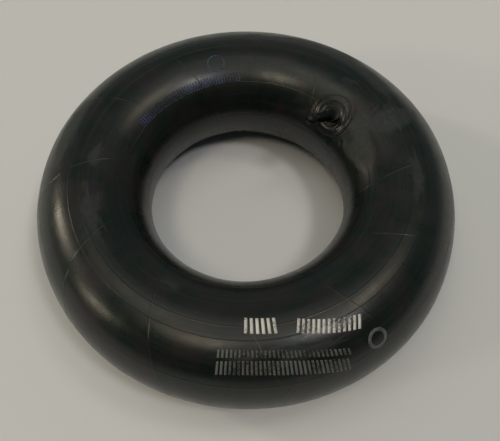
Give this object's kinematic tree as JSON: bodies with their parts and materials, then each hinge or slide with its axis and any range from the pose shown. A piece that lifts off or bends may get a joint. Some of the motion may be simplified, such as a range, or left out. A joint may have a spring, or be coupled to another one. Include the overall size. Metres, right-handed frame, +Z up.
{
  "type": "inner tube",
  "caption": "Inflated butyl inner tube lying flat: a fat hollow ring with a hub hole, a round rubber valve pad and a leaning rubber valve stem with a screw cap.",
  "frame": {"origin": "on the plane that the tube rests on, on the ring's axis", "axes": "+Z up along the ring's axis; the valve stands on the inner shoulder between +X and +Y; -Y is the side nearest the viewer in the usual view"},
  "size_m": [0.48, 0.48, 0.1341],
  "materials": {
    "butyl": "semi-gloss butyl rubber with dust and talc smudges",
    "valve_rubber": "moulded black rubber, smooth",
    "cap_plastic": "moulded black plastic",
    "brass": "machined",
    "core_ptfe": "matte",
    "spring_steel": "drawn wire",
    "seal_rubber": "matte rubber"
  },
  "bodies": {
    "tube": {"tube_body": "butyl", "valve_pad": "valve_rubber", "stem_rubber": "valve_rubber", "stem_insert": "brass"},
    "cap_seal": {"cap_washer": "seal_rubber"},
    "cap": {"cap_shell": "cap_plastic"},
    "core": {"core_barrel": "brass", "core_gasket": "core_ptfe", "core_spring": "spring_steel"},
    "core_plug": {"core_screw_plug": "brass"},
    "plunger": {"valve_pin": "brass", "pin_cup": "brass", "cup_seal": "seal_rubber", "spring_seat": "brass"}
  },
  "joints": [
    {"name": "cap_travel", "type": "slide", "parent": "tube", "child": "cap_seal", "axis": [-0.7208, -0.5237, 0.454], "range_m": [0, 0.00715]},
    {"name": "cap_turn", "type": "hinge", "parent": "cap_seal", "child": "cap", "pos_m": [0.07437, 0.06683, 0.12728], "axis": [-0.7208, -0.5237, 0.454], "range_deg": [0, 3240]},
    {"name": "core_travel", "type": "slide", "parent": "tube", "child": "core", "axis": [-0.7208, -0.5237, 0.454], "range_m": [0, 0.00212]},
    {"name": "core_turn", "type": "hinge", "parent": "core", "child": "core_plug", "pos_m": [0.07509, 0.06735, 0.12683], "axis": [-0.7208, -0.5237, 0.454], "range_deg": [0, 1080]},
    {"name": "pin_press", "type": "slide", "parent": "core", "child": "plunger", "axis": [0.7208, 0.5237, -0.454], "range_m": [0, 0.002], "stiffness_N_per_m": 1200, "deforming": ["core_spring"]}
  ],
  "couplings": [
    {"joint": "cap_turn", "follows": "cap_travel", "rad_per_m": 7913.3},
    {"joint": "core_turn", "follows": "core_travel", "rad_per_m": 8904.7}
  ]
}
